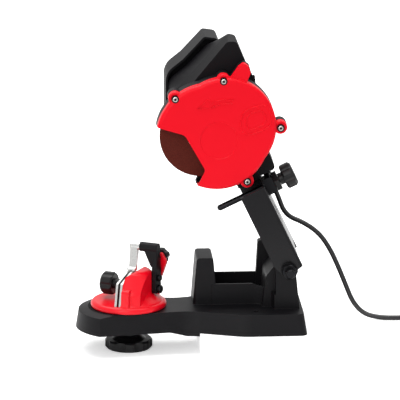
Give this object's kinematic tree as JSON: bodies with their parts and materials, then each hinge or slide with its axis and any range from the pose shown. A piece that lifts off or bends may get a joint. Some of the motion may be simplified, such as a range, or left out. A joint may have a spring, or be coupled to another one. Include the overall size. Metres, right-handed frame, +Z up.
{
  "type": "electric chainsaw sharpener",
  "caption": "Bench-mounted electric grinder for saw chain: a hinged motor head with a guarded disc over a swivelling chain vise.",
  "frame": {"origin": "midway between the two bench-bolt holes, on the face that sits on the bench", "axes": "+Z up, +X from the chain vise to the head's hinge, +Y towards the motor"},
  "size_m": [0.5313, 0.2074, 0.4104],
  "materials": {
    "cast_black": "black paint on a casting, satin",
    "steel_sheet": "bright zinc-plated sheet",
    "steel": "zinc-plated turned and cut parts",
    "polished_steel": "bright ground steel",
    "red_plastic": "moulded, semi-gloss",
    "red_paint": "red paint on a casting",
    "black_plastic": "moulded, fine texture",
    "abrasive": "resin-bonded abrasive grit",
    "black_sheet": "black powder-coated sheet",
    "black_oxide": "black-oxide screws and rods",
    "copper": "enamelled winding wire",
    "lamination": "stacked steel sheet",
    "carbon": "pressed carbon",
    "brass": "sheet brass",
    "rubber": "soft moulded, matte"
  },
  "bodies": {
    "base": {"base_casting": "cast_black", "hinge_bolt": "black_oxide", "hinge_nut": "black_oxide", "hinge_washers": "black_oxide", "hinge_bushes": "brass", "power_cord": "rubber", "cord_coil": "rubber", "mains_plug": "black_plastic"},
    "vise": {"turntable": "red_paint", "rail_fixed": "steel_sheet", "bracket_screws": "black_oxide", "swivel_bolt": "steel", "swivel_washer": "steel"},
    "lock_knob": {"swivel_lock_knob": "black_plastic"},
    "clamp_jaw": {"rail_moving": "steel_sheet"},
    "clamp_handle": {"clamp_knob": "black_plastic", "clamp_screw": "steel"},
    "chain_stop": {"chain_stop_bracket": "cast_black", "pawl_pin": "steel"},
    "pawl": {"chain_pawl": "steel_sheet"},
    "stop_handle": {"star_knob": "black_plastic"},
    "head": {"arm_channel": "black_sheet", "arm_bolts": "black_oxide", "depth_block": "black_oxide", "guard_back": "black_plastic", "guard_cover": "red_plastic", "cover_screws": "polished_steel", "bearing_front": "polished_steel", "bearing_rear": "polished_steel", "motor_housing_front": "black_plastic", "motor_housing_rear": "black_plastic", "housing_screws": "polished_steel", "stator_core": "lamination", "stator_windings": "copper", "carbon_brushes": "carbon", "brush_holders": "black_plastic", "switch_body": "black_plastic", "cable_gland": "rubber", "return_spring": "steel"},
    "spindle": {"motor_shaft": "steel", "armature_core": "lamination", "armature_windings": "copper", "commutator": "copper", "cooling_fan": "black_plastic", "grinding_disc": "abrasive", "disc_flange_inner": "steel", "disc_flange_outer": "steel", "disc_nut": "steel"},
    "rocker": {"switch_rocker": "black_plastic"},
    "depth_stop": {"depth_rod": "black_oxide"},
    "depth_handle": {"depth_knob": "black_plastic"},
    "depth_lock": {"depth_lock_nut": "black_plastic"}
  },
  "joints": [
    {"name": "head_tilt", "type": "hinge", "parent": "base", "child": "head", "pos_m": [0.043, -0.018, 0.081], "axis": [0, -1, 0], "range_deg": [0, 32.2], "stiffness_Nm_per_rad": 4, "springref_deg": -91.67},
    {"name": "disc_spin", "type": "hinge", "parent": "head", "child": "spindle", "pos_m": [-0.07, -0.018, 0.255], "axis": [0, 1, 0], "continuous": true},
    {"name": "switch_rock", "type": "hinge", "parent": "head", "child": "rocker", "pos_m": [-0.00102, 0.00802, 0.31815], "axis": [-0.0381, 0.9992, -0.0116], "range_deg": [-12, 0]},
    {"name": "depth_feed", "type": "slide", "parent": "head", "child": "depth_stop", "axis": [0.9026, 0, 0.4305], "range_m": [0, 0.005]},
    {"name": "depth_knob_turn", "type": "hinge", "parent": "depth_stop", "child": "depth_handle", "pos_m": [-0.00048, 0.007, 0.17216], "axis": [0.9026, 0, 0.4305], "range_deg": [-10, 1450]},
    {"name": "depth_nut_turn", "type": "hinge", "parent": "head", "child": "depth_lock", "pos_m": [-0.00048, 0.007, 0.17216], "axis": [0.9026, 0, 0.4305], "range_deg": [-180, 180]},
    {"name": "vise_swivel", "type": "hinge", "parent": "base", "child": "vise", "pos_m": [-0.165, -0.018, 0.028], "axis": [0, 0, 1], "range_deg": [-8, 62]},
    {"name": "lock_knob_turn", "type": "hinge", "parent": "vise", "child": "lock_knob", "pos_m": [-0.165, -0.018, 0.028], "axis": [0, 0, 1], "range_deg": [0, 180]},
    {"name": "clamp_turn", "type": "hinge", "parent": "vise", "child": "clamp_handle", "pos_m": [-0.18638, -0.0071, 0.0555], "axis": [0.891, -0.454, 0], "range_deg": [-5, 275]},
    {"name": "clamp_close", "type": "slide", "parent": "vise", "child": "clamp_jaw", "axis": [0.891, -0.454, 0], "range_m": [0, 0.0012]},
    {"name": "stop_slide", "type": "slide", "parent": "vise", "child": "chain_stop", "axis": [0.454, 0.891, 0], "range_m": [-0.0025, 0.0025]},
    {"name": "pawl_flip", "type": "hinge", "parent": "chain_stop", "child": "pawl", "pos_m": [-0.14841, -0.01187, 0.106], "axis": [-0.891, 0.454, 0], "range_deg": [0, 35]},
    {"name": "star_knob_turn", "type": "hinge", "parent": "vise", "child": "stop_handle", "pos_m": [-0.12514, -0.01025, 0.09], "axis": [0.454, 0.891, 0], "range_deg": [-920, 920]}
  ],
  "couplings": [
    {"joint": "clamp_turn", "follows": "clamp_close", "rad_per_m": 3927},
    {"joint": "star_knob_turn", "follows": "stop_slide", "rad_per_m": 6283.2},
    {"joint": "depth_knob_turn", "follows": "depth_feed", "rad_per_m": 5026.5}
  ]
}
